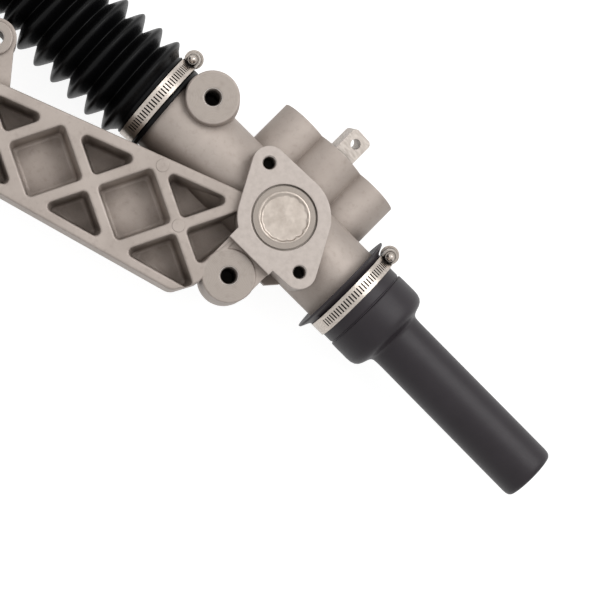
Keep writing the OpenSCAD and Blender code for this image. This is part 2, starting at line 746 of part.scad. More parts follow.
module needle_cup() {
    color(steel) on_rack() along_pinion(needle_y - needle_length - 1) difference() {
        cylinder(r = needle_cup_r, h = needle_length + 2);
        translate([0, 0, -1]) cylinder(r = journal_d / 2 + running_gap, h = needle_length + 4);
        translate([0, 0, 1]) cylinder(r = needle_cup_r - needle_cup_t, h = needle_length);
    }
}
module needle_rollers() {
    pitch = journal_d / 2 + needle_d / 2 + running_gap;
    color(steel) on_rack() along_pinion(needle_y - needle_length + 0.1)
        for (i = [0:needle_count - 1]) rotate(i * 360 / needle_count)
            translate([pitch, 0, 0]) cylinder(d = needle_d, h = needle_length - 0.2, $fn = 24);
}
module pinion_end_cap() {
    color(steel) on_rack() along_pinion(-foot_y + 0.5) difference() {
        cylinder(r = needle_cup_r, h = cap_t + 2);
        translate([0, 0, cap_t]) cylinder(r = needle_cup_r - 1, h = 3);
    }
}
module bearing_circlip() {
    color("#4a4a4c") on_rack() along_pinion(bearing_y + bearing_w) difference() {
        cylinder(r = bearing_d / 2 + 1, h = circlip_t);
        translate([0, 0, -1]) cylinder(r = bearing_d / 2 - 2, h = circlip_t + 2);
        translate([-3, 0, -1]) cube([6, bearing_d, circlip_t + 2]);
    }
}
module pinion_seal() {
    color(black_rubber) on_rack() along_pinion(seal_y) difference() {
        cylinder(d = bearing_d, h = seal_w);
        translate([0, 0, -1]) cylinder(d = bearing_bore_d + 3 + 2 * running_gap, h = seal_w + 2);
        translate([0, 0, -1]) rotate_extrude() translate([bearing_d / 2 - 5.5, 0]) square([3, seal_w - 1]);
    }
}

saddle_r = rack_r + liner_t + running_gap;
groove_w = 1.1;
groove_depth = 3;
liner_w = 1.54 * rack_r;
plug_bottom = rack_drop - plug_recess - plug_h;
yoke_top = plug_bottom - 0.6;
spring_r = 8.5;
spring_wire = 3;
spring_seat = 12;
spring_pocket_z = yoke_top - spring_seat;

module yoke() {
    color("#9a9da0") on_rack() difference() {
        translate([0, 0, 2]) cylinder(d = yoke_d, h = yoke_top - 2);
        along_x(-yoke_d) cylinder(r = saddle_r, h = 2 * yoke_d);
        translate([0, 0, spring_pocket_z]) cylinder(r = spring_r + spring_wire / 2 + 0.5, h = spring_seat + 1);
        translate([0, 0, yoke_top - 5]) difference() {
            cylinder(d = yoke_d + 2, h = 2.4);
            translate([0, 0, -1]) cylinder(d = yoke_d - 4, h = 5);
        }
    }
}
module yoke_liner() {
    color("#e8e4da") on_rack() intersection() {
        along_x(-yoke_d / 2 + 3) difference() {
            cylinder(r = saddle_r, h = yoke_d - 6);
            translate([0, 0, -1]) cylinder(r = rack_r + running_gap, h = yoke_d);
        }
        translate([-yoke_d, -liner_w / 2, 2]) cube([2 * yoke_d, liner_w, rack_r + 5]);
    }
}
module yoke_o_ring() {
    color(black_rubber) on_rack() translate([0, 0, yoke_top - 5 + 1.2])
        rotate_extrude() translate([yoke_d / 2 - 1, 0]) circle(1, $fn = 24);
}

// A helical wire of round section with flat ends at its seats.
module yoke_spring() {
    turns = 4.5;
    sides = 8;
    per_turn = 20;
    low = spring_pocket_z + spring_wire / 2;
    high = plug_bottom + 3 - spring_wire / 2;
    count = turns * per_turn;
    rings = [for (k = [0:count]) [for (j = [0:sides - 1])
        let (
            a = 360 * k / per_turn,
            b = 360 * j / sides,
            r = spring_r + spring_wire / 2 * cos(b)
        )
        [r * cos(a), r * sin(a), low + (high - low) * k / count + spring_wire / 2 * sin(b)]]];
    color(steel) on_rack() mirror([0, 1, 0]) loft(rings);
}

module yoke_plug() {
    color(machined) on_rack() translate([0, 0, plug_bottom]) difference() {
        union() {
            cylinder(d = plug_bore_d - 2 * running_gap, h = plug_h - groove_depth);
            cylinder(d = plug_bore_d - 2 * groove_w, h = plug_h);
        }
        translate([0, 0, -1]) cylinder(r = spring_r + spring_wire / 2 + 0.5, h = 4);
        translate([0, 0, plug_h - 2.6]) cylinder(d = cap_d + 0.4, h = 4);
    }
}
// The pressed cap in the plug, dished, with a rolled rim.
module plug_cap() {
    cap_r = cap_d / 2;
    color(stainless) on_rack() translate([0, 0, rack_drop - plug_recess - 2.6]) difference() {
        union() {
            cylinder(r = cap_r, h = 1.2);
            rotate_extrude() translate([cap_r - 1.2, 1.2]) circle(1.2, $fn = 24);
        }
        translate([0, 0, 60.9]) sphere(r = 60, $fn = 96);
    }
}

// The corrugated boot: fold tips and roots follow two tapered lines.
module bellows_boot() {
    tip_w = 2.6;
    root_w = 1.6;
    tip = function (k) (bellows_d_big + (bellows_d_small - bellows_d_big) * k / (bellows_count - 1)) / 2;
    outer = [for (k = [0:bellows_count - 1])
        let (x = bellows_start + (k + 0.5) * bellows_pitch)
        each [[x - tip_w / 2, tip(k) - 0.9], [x - tip_w / 4, tip(k)], [x + tip_w / 4, tip(k)],
            [x + tip_w / 2, tip(k) - 0.9],
            if (k < bellows_count - 1) [x + bellows_pitch / 2 - root_w / 2, tip(k) - bellows_fold],
            if (k < bellows_count - 1) [x + bellows_pitch / 2 + root_w / 2, tip(k) - bellows_fold]]];
    inner = [for (p = outer) [p[0], p[1] - rubber_t]];
    profile = concat(
        [[clamp_left - band_w / 2 - boot_lip_w, neck_r + 0.1]],
        [[clamp_left - band_w / 2 - boot_lip_w, cuff_r - squeeze]],
        [[bellows_start, cuff_r - squeeze]],
        outer,
        [[bellows_end - 1, small_r + 3], [bellows_end, small_r]],
        [[bellows_end + small_cuff, small_r], [bellows_end + small_cuff, rack_r + 0.05]],
        [[bellows_end, rack_r + 0.05], [bellows_end - 3, small_r + 1]],
        [for (k = [len(inner) - 1:-1:0]) inner[k]],
        [[neck_left + 0.6, neck_r + 1.6], [neck_left + 0.2, neck_r + 0.1]]);
    color(black_rubber) on_rack() difference() {
        rotate([0, -90, 0]) rotate_extrude() polygon([for (p = profile) [p[1], p[0]]]);
        // The cuff's edge is cut away round the boss
        translate([tube_boss_x, tube_boss_y, 0])
            cylinder(r = boss_foot_r + boss_clearance, h = 3 * neck_r, center = true);
    }
}

module bellows_clip() {
    color(stainless) on_rack() along_x(-bellows_end - small_cuff / 2 - 3) difference() {
        cylinder(r = small_r + 0.9, h = 6);
        translate([0, 0, -1]) cylinder(r = small_r + running_gap, h = 8);
    }
}

// Places a clamp on the rack's axis, turned by its skew.
module at_clamp(x, skew) {
    on_rack() translate([x, 0, 0]) rotate([0, 0, skew]) children();
}

// A slotted band wound once round a cuff, overlapping itself under the screw housing.
module clamp_band(x, skew) {
    tail_start = -15;
    tail_angle = 165;
    first_slot = 14;
    slot_l = 0.52 * band_w;
    slot_step = slot_pitch / band_r * 180 / PI;
    count = floor((tail_angle + tail_start - first_slot - 4) / slot_step);
    color(stainless) at_clamp(x, skew) along_x(-band_w / 2) difference() {
        union() {
            cylinder(r = band_r + band_t, h = band_w);
            // The overlapping tail, which carries the slots under the screw
            rotate(tail_start) rotate_extrude(angle = tail_angle)
                translate([band_r + 0.7 * band_t, 0]) square([1.3 * band_t, band_w]);
        }
        translate([0, 0, -1]) cylinder(r = band_r, h = band_w + 2);
        for (i = [0:count]) rotate(first_slot + i * slot_step)
            translate([band_r - 1, -slot_w / 2, (band_w - slot_l) / 2]) cube([4, slot_w, slot_l]);
    }
}
// The screw's axis is tangent to the band, a little in front of the rack's axis.
module at_worm(z) {
    rotate([worm_turn, 0, 0]) translate([0, worm_y, z - worm_drop]) children();
}
// The pressed housing that holds the worm screw against the band.
module clamp_housing(x, skew) {
    inner_r = worm_d / 2 + worm_gap;
    outer_r = inner_r + worm_wall;
    length = 0.6 * worm_length;
    color(stainless) at_clamp(x, skew) at_worm(-length / 2) difference() {
        union() {
            cylinder(r = outer_r, h = length);
            translate([-outer_r, -worm_d / 2, 0]) cube([2 * outer_r, worm_d / 2, length]);
        }
        translate([0, 0, -1]) cylinder(r = inner_r, h = length + 2);
        translate([-inner_r, -worm_d, -1]) cube([2 * inner_r, worm_d, length + 2]);
    }
}
// The worm screw: a threaded barrel, a collar and a slotted hexagon head.
module clamp_screw(x, skew) {
    head_h = 4;
    head_r = 0.75 * worm_d;
    collar_r = 0.96 * worm_d;
    driver_slot = 1.2;
    color(stainless) at_clamp(x, skew) at_worm(-worm_length / 2) difference() {
        union() {
            cylinder(r = worm_d / 2 - thread_h, h = worm_length);
            for (k = [0:8]) translate([0, 0, (k + 0.6) * slot_pitch])
                cylinder(r = worm_d / 2, h = slot_pitch / 2);
            translate([0, 0, worm_length]) sphere(r = worm_d / 2 - thread_h);
            translate([0, 0, -1]) cylinder(r = collar_r, h = 1.2);
            translate([0, 0, -head_h - 1]) cylinder(r = head_r, h = head_h, $fn = 6);
        }
        translate([-worm_d, -driver_slot / 2, -head_h - 2]) cube([2 * worm_d, driver_slot, 2.5]);
    }
}
module clamp_band_left() {
    clamp_band(-clamp_left, clamp_skew);
}
module clamp_housing_left() {
    clamp_housing(-clamp_left, clamp_skew);
}
module clamp_screw_left() {
    clamp_screw(-clamp_left, clamp_skew);
}
module clamp_band_right() {
    clamp_band(clamp_right, 0);
}
module clamp_housing_right() {
    clamp_housing(clamp_right, 0);
}
module clamp_screw_right() {
    clamp_screw(clamp_right, 0);
}

// The closed rubber cover: flared lip, cuff, collar, shoulder and tube.
module end_cover() {
    tube_r = rack_r + stop_wall + cover_clearance + rubber_t;
    collar_r = cuff_r + collar_rise;
    lip_r = cuff_r + lip_rise;
    collar_x = clamp_right + band_w / 2 + 4;
    shoulder_x = collar_x + 19;
    tube_x = shoulder_x + 8;
    end_r = 5;
    arc_steps = [0:15:90];
    profile = concat(
        [[cover_start, neck_r + 1.2], [cover_start - 0.4, lip_r - 0.5], [cover_start + 0.4, lip_r]],
        [[cover_start + 1.8, lip_r - 1.6], [cover_start + 3, cuff_r + 1.2]],
        [[clamp_right - band_w / 2 - 0.6, cuff_r + 0.6], [clamp_right - band_w / 2 - 0.4, cuff_r]],
        [[clamp_right + band_w / 2 + 0.4, cuff_r], [collar_x - 0.4, collar_r - 0.8]],
        [[collar_x + 0.6, collar_r], [shoulder_x - 4, collar_r]],
        [for (a = arc_steps) [shoulder_x - 4 + 4 * sin(a), collar_r - 4 + 4 * cos(a)]],
        [[tube_x - 3, tube_r + 2], [tube_x, tube_r], [cover_end - end_r, tube_r - 0.4]],
        [for (a = arc_steps) [cover_end - end_r + end_r * sin(a), tube_r - 0.4 - end_r + end_r * cos(a)]],
        [[cover_end, 0], [cover_end - rubber_t, 0]],
        [for (a = [90:-30:0]) [cover_end - end_r + (end_r - rubber_t) * sin(a),
            tube_r - 0.4 - end_r + (end_r - rubber_t) * cos(a)]],
        [[tube_x - rubber_t, tube_r - rubber_t], [shoulder_x - rubber_t, collar_r - 6]],
        [[shoulder_x - 5, collar_r - rubber_t], [neck_right + 3, collar_r - rubber_t]],
        [[neck_right + 0.2, neck_r + 0.1]]);
    color(black_rubber) on_rack() rotate([0, 90, 0]) rotate_extrude()
        polygon([for (p = profile) [p[1], p[0]]]);
}

rack_housing();
rack_bar();
rack_bush_left();
rack_bush_right();
rack_stop_left();
rack_stop_right();
pinion_shaft();
bearing_outer_ring();
bearing_inner_ring();
bearing_balls();
bearing_cage();
needle_cup();
needle_rollers();
pinion_end_cap();
bearing_circlip();
pinion_seal();
yoke();
yoke_liner();
yoke_o_ring();
yoke_spring();
yoke_plug();
plug_cap();
bellows_boot();
bellows_clip();
clamp_band_left();
clamp_housing_left();
clamp_screw_left();
end_cover();
clamp_band_right();
clamp_housing_right();
clamp_screw_right();
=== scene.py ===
# %% [markdown]
# # A rack and pinion steering gear
# The gear is a die-cast aluminium housing that lies on its back under soft light.
# A black bellows covers the end of the rack that drives the tie rods, and a closed
# rubber cover hides the toothed end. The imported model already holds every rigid
# piece at its real size, so this script gives them their finishes, models the soft
# rubber and the small relief, and sets up the camera and the lamps.

# %% Load the frame
import json
import math

import bpy
import numpy as np
from mathutils import Matrix, Vector


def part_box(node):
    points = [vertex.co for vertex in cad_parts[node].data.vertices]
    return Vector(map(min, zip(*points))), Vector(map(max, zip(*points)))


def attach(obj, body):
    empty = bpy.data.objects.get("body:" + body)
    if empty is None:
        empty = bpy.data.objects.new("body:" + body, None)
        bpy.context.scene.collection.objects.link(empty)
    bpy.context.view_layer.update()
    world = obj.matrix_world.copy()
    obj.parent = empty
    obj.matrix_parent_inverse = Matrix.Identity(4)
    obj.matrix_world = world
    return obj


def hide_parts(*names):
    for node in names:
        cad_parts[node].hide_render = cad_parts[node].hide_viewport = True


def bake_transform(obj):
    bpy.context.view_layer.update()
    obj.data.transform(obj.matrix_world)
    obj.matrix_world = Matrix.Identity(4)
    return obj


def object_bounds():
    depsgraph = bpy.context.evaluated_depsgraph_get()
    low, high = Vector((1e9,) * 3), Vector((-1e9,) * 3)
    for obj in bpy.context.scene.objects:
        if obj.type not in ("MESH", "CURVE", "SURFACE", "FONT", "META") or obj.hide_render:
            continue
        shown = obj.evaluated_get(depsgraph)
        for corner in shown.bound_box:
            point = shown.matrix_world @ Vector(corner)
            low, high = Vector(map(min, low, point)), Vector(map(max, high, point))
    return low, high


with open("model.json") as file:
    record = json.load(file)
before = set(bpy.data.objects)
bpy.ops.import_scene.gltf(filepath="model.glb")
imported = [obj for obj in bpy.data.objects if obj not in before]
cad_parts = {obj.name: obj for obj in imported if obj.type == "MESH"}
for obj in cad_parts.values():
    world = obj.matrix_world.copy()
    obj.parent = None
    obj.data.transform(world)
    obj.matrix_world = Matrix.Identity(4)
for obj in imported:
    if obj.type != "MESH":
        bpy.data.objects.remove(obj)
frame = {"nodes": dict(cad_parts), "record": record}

MM = 0.001
cad_low, cad_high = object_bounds()
print("CAD box in mm:", [round((high - low) / MM, 1) for low, high in zip(cad_low, cad_high)])

# %% [markdown]
# Everything round is placed from the rack's axis, so its height is read from the
# bush that carries the rack and not typed in.

# %% The rack's axis
bush_low, bush_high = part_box("rack_bush_left")
RACK_Z = (bush_low[2] + bush_high[2]) / 2
cover_low, cover_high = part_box("end_cover")
boot_low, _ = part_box("bellows_boot")
print("the rack's axis lies", round(-RACK_Z / MM, 1), "mm under the flange's face")

# %% [markdown]
# The photograph looks almost straight down on the front flange, from far away, and
# the rack runs across the picture at 45 degrees. A long lens far off keeps the
# sides of the bosses nearly parallel. The camera's turn is built from where it
# looks and which way is up in the picture.

# %% Camera
CAMERA_AT = Vector((-0.0293, -0.2075, 1.5500))
LOOK_AT = Vector((0.0402, -0.0278, 0.0))
PICTURE_UP = Vector((-0.7054, 0.7070, 0.0503))
LENS_MM, SENSOR_MM = 161.3, 36.0
FARTHEST = 20.0  # metres, past the floor's corners

back = (CAMERA_AT - LOOK_AT).normalized()
right = PICTURE_UP.cross(back).normalized()
up = back.cross(right)
camera_data = bpy.data.cameras.new("camera")
camera_data.lens = LENS_MM
camera_data.sensor_width = SENSOR_MM
camera_data.clip_end = FARTHEST
camera = bpy.data.objects.new("camera", camera_data)
camera.matrix_world = (Matrix.Translation(CAMERA_AT)
                       @ Matrix((right, up, back)).transposed().to_4x4())
bpy.context.scene.collection.objects.link(camera)
bpy.context.scene.camera = camera
bpy.context.scene.view_settings.view_transform = "Standard"
print("the camera stands", round((CAMERA_AT - LOOK_AT).length, 2), "m away")


# %% [markdown]
# A finish is a small graph of shader nodes. One function turns the sRGB colours
# that a designer reads off a chart into the linear light that Blender mixes, and
# one function adds a node with its settings and its links.

# %% Colours and nodes
def linear(hex_code):
    """sRGB hex to linear RGBA: below 0.04045 a straight line, above it a 2.4 power."""
    srgb = [int(hex_code[i:i + 2], 16) / 255 for i in (1, 3, 5)]
    return [c / 12.92 if c <= 0.04045 else ((c + 0.055) / 1.055) ** 2.4 for c in srgb] + [1.0]


def add(tree, kind, sockets=None, **settings):
    """Adds a node. Settings are its properties. A socket gets a link, a hex colour or a value."""
    node = tree.nodes.new(kind)
    for name, value in settings.items():
        setattr(node, name, value)
    for socket, source in (sockets or {}).items():
        if isinstance(source, bpy.types.NodeSocket):
            tree.links.new(source, node.inputs[socket])
        elif isinstance(source, str):
            node.inputs[socket].default_value = linear(source)
        else:
            node.inputs[socket].default_value = source
    return node


# %% [markdown]
# Some steps come back in every finish. A new material starts with its Principled
# shader and the piece's own coordinates, so a pattern stays on the piece when it
# moves. Two colours are blended by a pattern, such as the clouds of a noise. Masks
# are combined by simple arithmetic. At the end, the colour, the roughness and the
# relief are linked to the shader. A noise's values crowd round one half, so a blend
# runs over that middle and not from 0 to 1.

# %% The steps of a finish
COLOUR_A, COLOUR_B, COLOUR_OUT = 6, 7, 2  # a Mix node's sockets when it mixes colours
MIDDLE = (0.35, 0.65)  # where most of a noise's values lie
WIDE = {"From Min": 0.3, "From Max": 0.7}  # the wider span that roughness follows


def new_material(name, **surface):
    """A material with its Principled shader, its tree and the Object coordinates."""
    material = bpy.data.materials.new(name)
    material.use_nodes = True
    tree = material.node_tree
    shader = tree.nodes["Principled BSDF"]
    for socket, value in surface.items():
        shader.inputs[socket.replace("_", " ")].default_value = value
    place = add(tree, "ShaderNodeTexCoord").outputs["Object"]
    return material, tree, shader, place


def painted(tree, pattern, span, first, second, most=1.0):
    """The first colour up to span's start, and from its end on the second, at most by most."""
    share = add(tree, "ShaderNodeMapRange", {
        "Value": pattern, "From Min": span[0], "From Max": span[1], "To Max": most})
    return add(tree, "ShaderNodeMix", {
        "Factor": share.outputs[0], COLOUR_A: first, COLOUR_B: second},
        data_type="RGBA").outputs[COLOUR_OUT]


def combined(tree, operation, values):
    """One value from many: each Math node joins the next value to the result so far."""
    result, *rest = values
    for value in rest:
        result = add(tree, "ShaderNodeMath", {0: result, 1: value}, operation=operation).outputs[0]
    return result


def wire(tree, shader, colour, height, depth_mm, strength, roughness=None):
    """Links a finish to its shader. The relief is depth_mm deep where height is 1."""
    relief = add(tree, "ShaderNodeBump", {
        "Height": height, "Distance": depth_mm * MM, "Strength": strength})
    tree.links.new(colour, shader.inputs["Base Color"])
    tree.links.new(relief.outputs["Normal"], shader.inputs["Normal"])
    if roughness is not None:
        tree.links.new(roughness, shader.inputs["Roughness"])
    return relief


# %% [markdown]
# ## The machined places of the casting
# The flange's face, the bosses' seats and the small countersinks are cut after
# casting. All of them lie on one piece, so the material tells them apart by place:
# the flange's face is the plane at height 0, and each seat or countersink is a disc
# round the middle of its hole. The cutter leaves faint rings, and the distance from
# the nearest hole draws them.

# %% Where the casting is machined
FLANGE_SKIN = 0.15 * MM
EAR_FROM_AXIS, EAR_ANGLE = 33 * MM, math.radians(-30)
EAR = EAR_FROM_AXIS * np.array([math.cos(EAR_ANGLE), math.sin(EAR_ANGLE)])
mounts = {mount["name"]: mount for mount in frame["record"]["mounts"]}
TUBE_BOSS, FLANGE_BOSS, EYE = (mounts[name]["pos_m"] for name in
                               ("tube_boss_thread", "flange_boss_thread", "arm_eye_bore"))
# each seat or countersink, in mm: its radius, its face's height, and its reach from there
SEATS = [(TUBE_BOSS, 15.0, -5.0, 1.4), (FLANGE_BOSS, 15.0, -5.0, 1.4), (EYE, 9.2, -8.0, 0.8),
         (EAR, 5.4, 0.0, 1.4), (-EAR, 5.4, 0.0, 1.4)]
SEAT_EDGE = 0.3  # mm over which a seat fades at its border
SUNK_FROM, SUNK_FULLY = 0.1, 0.25  # mm under the seat's face where a countersink shows
print("machined: the flange's face and", len(SEATS), "seats and countersinks")


def from_upright(tree, place, centre):
    """Distance from the upright line through a centre: the length of (x - cx, y - cy)."""
    flat = add(tree, "ShaderNodeVectorMath", {0: place, 1: (1, 1, 0)}, operation="MULTIPLY")
    return add(tree, "ShaderNodeVectorMath", {
        0: flat.outputs[0], 1: (centre[0], centre[1], 0)}, operation="DISTANCE").outputs["Value"]


def cutter_rings(tree, distance, width_mm):
    """0 to 1 over width_mm and back again, as the rings of a cutter or a lathe."""
    saw = add(tree, "ShaderNodeMath", {0: distance, 1: width_mm * MM}, operation="PINGPONG")
    return add(tree, "ShaderNodeMapRange", {
        "Value": saw.outputs[0], "From Max": width_mm * MM}).outputs[0]


def machined_masks(tree, place):
    """1 on the flange's face, on seats and on countersinks, and the nearest seat's distance."""
    height = add(tree, "ShaderNodeSeparateXYZ", {"Vector": place}).outputs["Z"]
    flange = add(tree, "ShaderNodeMapRange", {
        "Value": height, "From Min": -FLANGE_SKIN, "From Max": -FLANGE_SKIN / 2})
    seats, cones, distances = [], [], []
    for centre, radius_mm, top_mm, reach_mm in SEATS:
        distance = from_upright(tree, place, centre)
        inside = add(tree, "ShaderNodeMapRange", {
            "Value": distance, "From Min": (radius_mm - SEAT_EDGE) * MM,
            "From Max": radius_mm * MM, "To Min": 1, "To Max": 0})
        near = add(tree, "ShaderNodeMath", {0: height, 1: top_mm * MM, 2: reach_mm * MM},
                   operation="COMPARE")
        under = add(tree, "ShaderNodeMapRange", {
            "Value": height, "From Min": (top_mm - SUNK_FULLY) * MM,
            "From Max": (top_mm - SUNK_FROM) * MM, "To Min": 1, "To Max": 0})
        seats.append(combined(tree, "MULTIPLY", [inside.outputs[0], near.outputs[0]]))
        cones.append(combined(tree, "MULTIPLY", [seats[-1], under.outputs[0]]))
        distances.append(distance)
    return (flange.outputs[0], combined(tree, "MAXIMUM", seats),
            combined(tree, "MAXIMUM", cones), combined(tree, "MINIMUM", distances))


# %% [markdown]
# The tapped holes get painted shade, since deep narrow holes take little light. A hole's walls and
# floor are what lies inside its radius, between its floor and the start of its thread, and the
# painted shade eases off towards the opening.

# %% The tapped holes
# each tapped hole, in mm: its radius, the height where its thread starts, and its floor's
TAPPED = [(EAR, 4.0, -1.0, -24), (-EAR, 4.0, -1.0, -24),
          (TUBE_BOSS, 5.2, -6.2, -43), (FLANGE_BOSS, 5.2, -6.2, -43)]
SHADE_FADE_MM, SHADE_AT_THREAD_START = 9, 0.35  # how far the painted shade fades towards the thread's start, and the share of it left there
print("tapped holes:", len(TAPPED))


def tapped_shade_mask(tree, place):
    """Where the holes get painted shade: the product of four limits for each hole, and the largest
    of these over the holes.
    """
    height = add(tree, "ShaderNodeSeparateXYZ", {"Vector": place}).outputs["Z"]
    holes = []
    for centre, radius_mm, top_mm, floor_mm in TAPPED:
        limits = [(from_upright(tree, place, centre), radius_mm + 0.1, radius_mm + 0.3, 1, 0),
                  (height, top_mm - SHADE_FADE_MM, top_mm, 1, SHADE_AT_THREAD_START),
                  (height, top_mm - 0.5, top_mm, 1, 0),
                  (height, floor_mm - 0.6, floor_mm, 0, 1)]
        holes.append(combined(tree, "MULTIPLY", [add(tree, "ShaderNodeMapRange", {
            "Value": source, "From Min": low * MM, "From Max": high * MM,
            "To Min": at_low, "To Max": at_high}).outputs[0]
            for source, low, high, at_low, at_high in limits]))
    return combined(tree, "MAXIMUM", holes)


# %% [markdown]
# ## Cast aluminium
# Die-cast aluminium is a warm grey. Its skin is slightly blotchy, and shot blasting
# leaves it satin, with specks. Corners and pockets get painted shade: the colour darkens where
# walls stand close by.
# The flange's face is milled lighter and smoother, the seats a little darker with
# rings, and the countersinks are bright: partly freshly cut metal and partly a painted
# highlight. Blasting pits a tenth of a millimetre wide
# and the cutter's rings are finer than a pixel, so they are drawn just under a
# millimetre wide, as coarse as they need to be to show.

# %% Cast aluminium
BLOTCH_MM, PIT_MM, SPECK_MM, RING_MM = 28, 0.9, 3.5, 0.45
SHADE_REACH_MM, EDGE_RADIUS_MM = 16, 0.9
MILLED_ROUGHNESS, MILLED_RELIEF = 0.5, 0.15


def cast_aluminium():
    """Blasted die-cast skin, with milled faces and painted shade in corners."""
    material, tree, shader, place = new_material(
        "die-cast aluminium", Metallic=0.45, Roughness=0.5)
    blotch, pits, speck = (add(tree, "ShaderNodeTexNoise", {
        "Vector": place, "Scale": 1 / (size_mm * MM), "Detail": detail,
        "Roughness": 0.6}).outputs["Fac"]
        for size_mm, detail in ((BLOTCH_MM, 3), (PIT_MM, 5), (SPECK_MM, 4)))
    colour = painted(tree, blotch, MIDDLE, "#ACA199", "#B8ADA5")
    colour = painted(tree, speck, (0.55, 0.75), colour, "#978B83", most=0.3)
    # painted shade: an Ambient Occlusion node darkens the colour towards #6E635B in corners and
    # pockets
    painted_shade = add(tree, "ShaderNodeAmbientOcclusion", {"Distance": SHADE_REACH_MM * MM}, samples=8)
    colour = painted(tree, painted_shade.outputs["AO"], (0.15, 0.8), "#6E635B", colour)

    flange, seats, sunk, distance = machined_masks(tree, place)
    seat_colour = add(tree, "ShaderNodeMix", {
        "Factor": cutter_rings(tree, distance, RING_MM), COLOUR_A: "#A99F97",
        COLOUR_B: "#9F958D"}, data_type="RGBA").outputs[COLOUR_OUT]
    seat_colour = painted(tree, speck, (0.5, 0.75), seat_colour, "#8E847C", most=0.5)
    milled_colour = painted(tree, speck, (0.4, 0.7), "#BCB2AB", "#B2A8A1")
    # the countersinks' pale #E2DAD3 is partly freshly cut metal and partly a painted highlight
    # the tapped holes get painted shade (#4A443F) over their walls and floors
    for mask, over in ((seats, seat_colour), (flange, milled_colour), (sunk, "#E2DAD3"),
                       (tapped_shade_mask(tree, place), "#4A443F")):
        colour = add(tree, "ShaderNodeMix", {
            "Factor": mask, COLOUR_A: colour, COLOUR_B: over},
            data_type="RGBA").outputs[COLOUR_OUT]

    milled = combined(tree, "MAXIMUM", [flange, seats])
    skin = add(tree, "ShaderNodeMapRange", {"Value": speck, "To Min": 0.54, "To Max": 0.68, **WIDE})
    rough = add(tree, "ShaderNodeMix", {
        "Factor": milled, 2: skin.outputs[0], 3: MILLED_ROUGHNESS}, data_type="FLOAT")
    share = add(tree, "ShaderNodeMapRange", {
        "Value": milled, "To Min": 1, "To Max": MILLED_RELIEF})
    relief = wire(tree, shader, colour, combined(tree, "MULTIPLY", [pits, share.outputs[0]]),
                  0.12, 0.5, rough.outputs[0])
    # a Bevel node turns the light round every edge, as if each had a small radius
    rounded = add(tree, "ShaderNodeBevel", {"Radius": EDGE_RADIUS_MM * MM}, samples=6)
    tree.links.new(rounded.outputs["Normal"], relief.inputs["Normal"])
    return material


# %% [markdown]
# ## Turned aluminium
# The yoke plug is turned on a lathe, which leaves fine rings round the flange's
# centre. A lathe's rings are about two tenths of a millimetre apart, too fine to
# show here, so they are drawn three times as wide.

# %% Turned aluminium
LATHE_RING_MM = 0.3


def turned_aluminium():
    """Fine rings in colour and relief, round the axis of the plug."""
    material, tree, shader, place = new_material("turned aluminium", Metallic=0.8, Roughness=0.34)
    lines = cutter_rings(tree, from_upright(tree, place, (0, 0)), LATHE_RING_MM)
    colour = add(tree, "ShaderNodeMix", {
        "Factor": lines, COLOUR_A: "#A0978F", COLOUR_B: "#8F867E"}, data_type="RGBA")
    wire(tree, shader, colour.outputs[COLOUR_OUT], lines, 0.02, 0.4)
    return material


# %% [markdown]
# ## Steels
# Ground steel is bright with fine streaks along the bar. The pressed cap is zinc
# plated: it is smooth and shines softly, with broad shallow waves from the press.
# The clamp bands are bright stainless strip with fine lengthwise scratches. Real
# streaks are hundredths of a millimetre wide. They are drawn a millimetre or two
# wide, from a noise whose coordinates are stretched along them.

# %% Steel finishes
CREASE_SHADE_MM, WAVE_MM, PLATE_GRAIN_MM = 4, 7, 0.8


def streaked_metal(name, light, dark, roughness, stretch, streak_mm):
    """Bright metal with streaks and painted shade in creases: noise squeezed to streak_mm wide,
    stretched along one axis.
    """
    material, tree, shader, place = new_material(name, Metallic=1.0, Roughness=roughness)
    squeezed = add(tree, "ShaderNodeMapping", {"Vector": place, "Scale": stretch})
    streaks = add(tree, "ShaderNodeTexNoise", {
        "Vector": squeezed.outputs[0], "Scale": 1 / (streak_mm * MM), "Detail": 3,
        "Roughness": 0.6}).outputs["Fac"]
    # painted shade: an Ambient Occlusion node darkens the colour towards #1C1A18 in creases and
    # gaps
    painted_shade = add(tree, "ShaderNodeAmbientOcclusion", {"Distance": CREASE_SHADE_MM * MM}, samples=6)
    colour = painted(tree, painted_shade.outputs["AO"], (0.3, 0.85), "#1C1A18",
                     painted(tree, streaks, MIDDLE, light, dark))
    rough = add(tree, "ShaderNodeMapRange", {
        "Value": streaks, "To Min": roughness * 0.8, "To Max": roughness * 1.25, **WIDE})
    wire(tree, shader, colour, streaks, 0.004, 0.3, rough.outputs[0])
    return material


def plated_steel():
    """Zinc plate on a pressed cap, with shallow waves a few millimetres wide."""
    material, tree, shader, place = new_material("zinc plated steel", Metallic=1.0, Roughness=0.36)
    waves, fine = (add(tree, "ShaderNodeTexNoise", {
        "Vector": place, "Scale": 1 / (size_mm * MM), "Detail": detail, "Roughness": 0.6})
        .outputs["Fac"] for size_mm, detail in ((WAVE_MM, 2), (PLATE_GRAIN_MM, 3)))
    rough = add(tree, "ShaderNodeMapRange", {"Value": fine, "To Min": 0.3, "To Max": 0.42, **WIDE})
    wire(tree, shader, painted(tree, waves, MIDDLE, "#B8AEA5", "#A69C93"), fine, 0.006, 0.25,
         rough.outputs[0])
    return material


# %% [markdown]
# ## Rubber and plastic
# The bellows is a blown thermoplastic rubber, nearly black and satin, with light
# grey sheen where a fold catches the lamp. The end cover is softer and duller, a
# charcoal with the fine grain of its mould. That grain is finer than a pixel too,
# so it is drawn a little under a millimetre wide.

# %% Rubber and plastic finishes
CLOUD_MM = 18


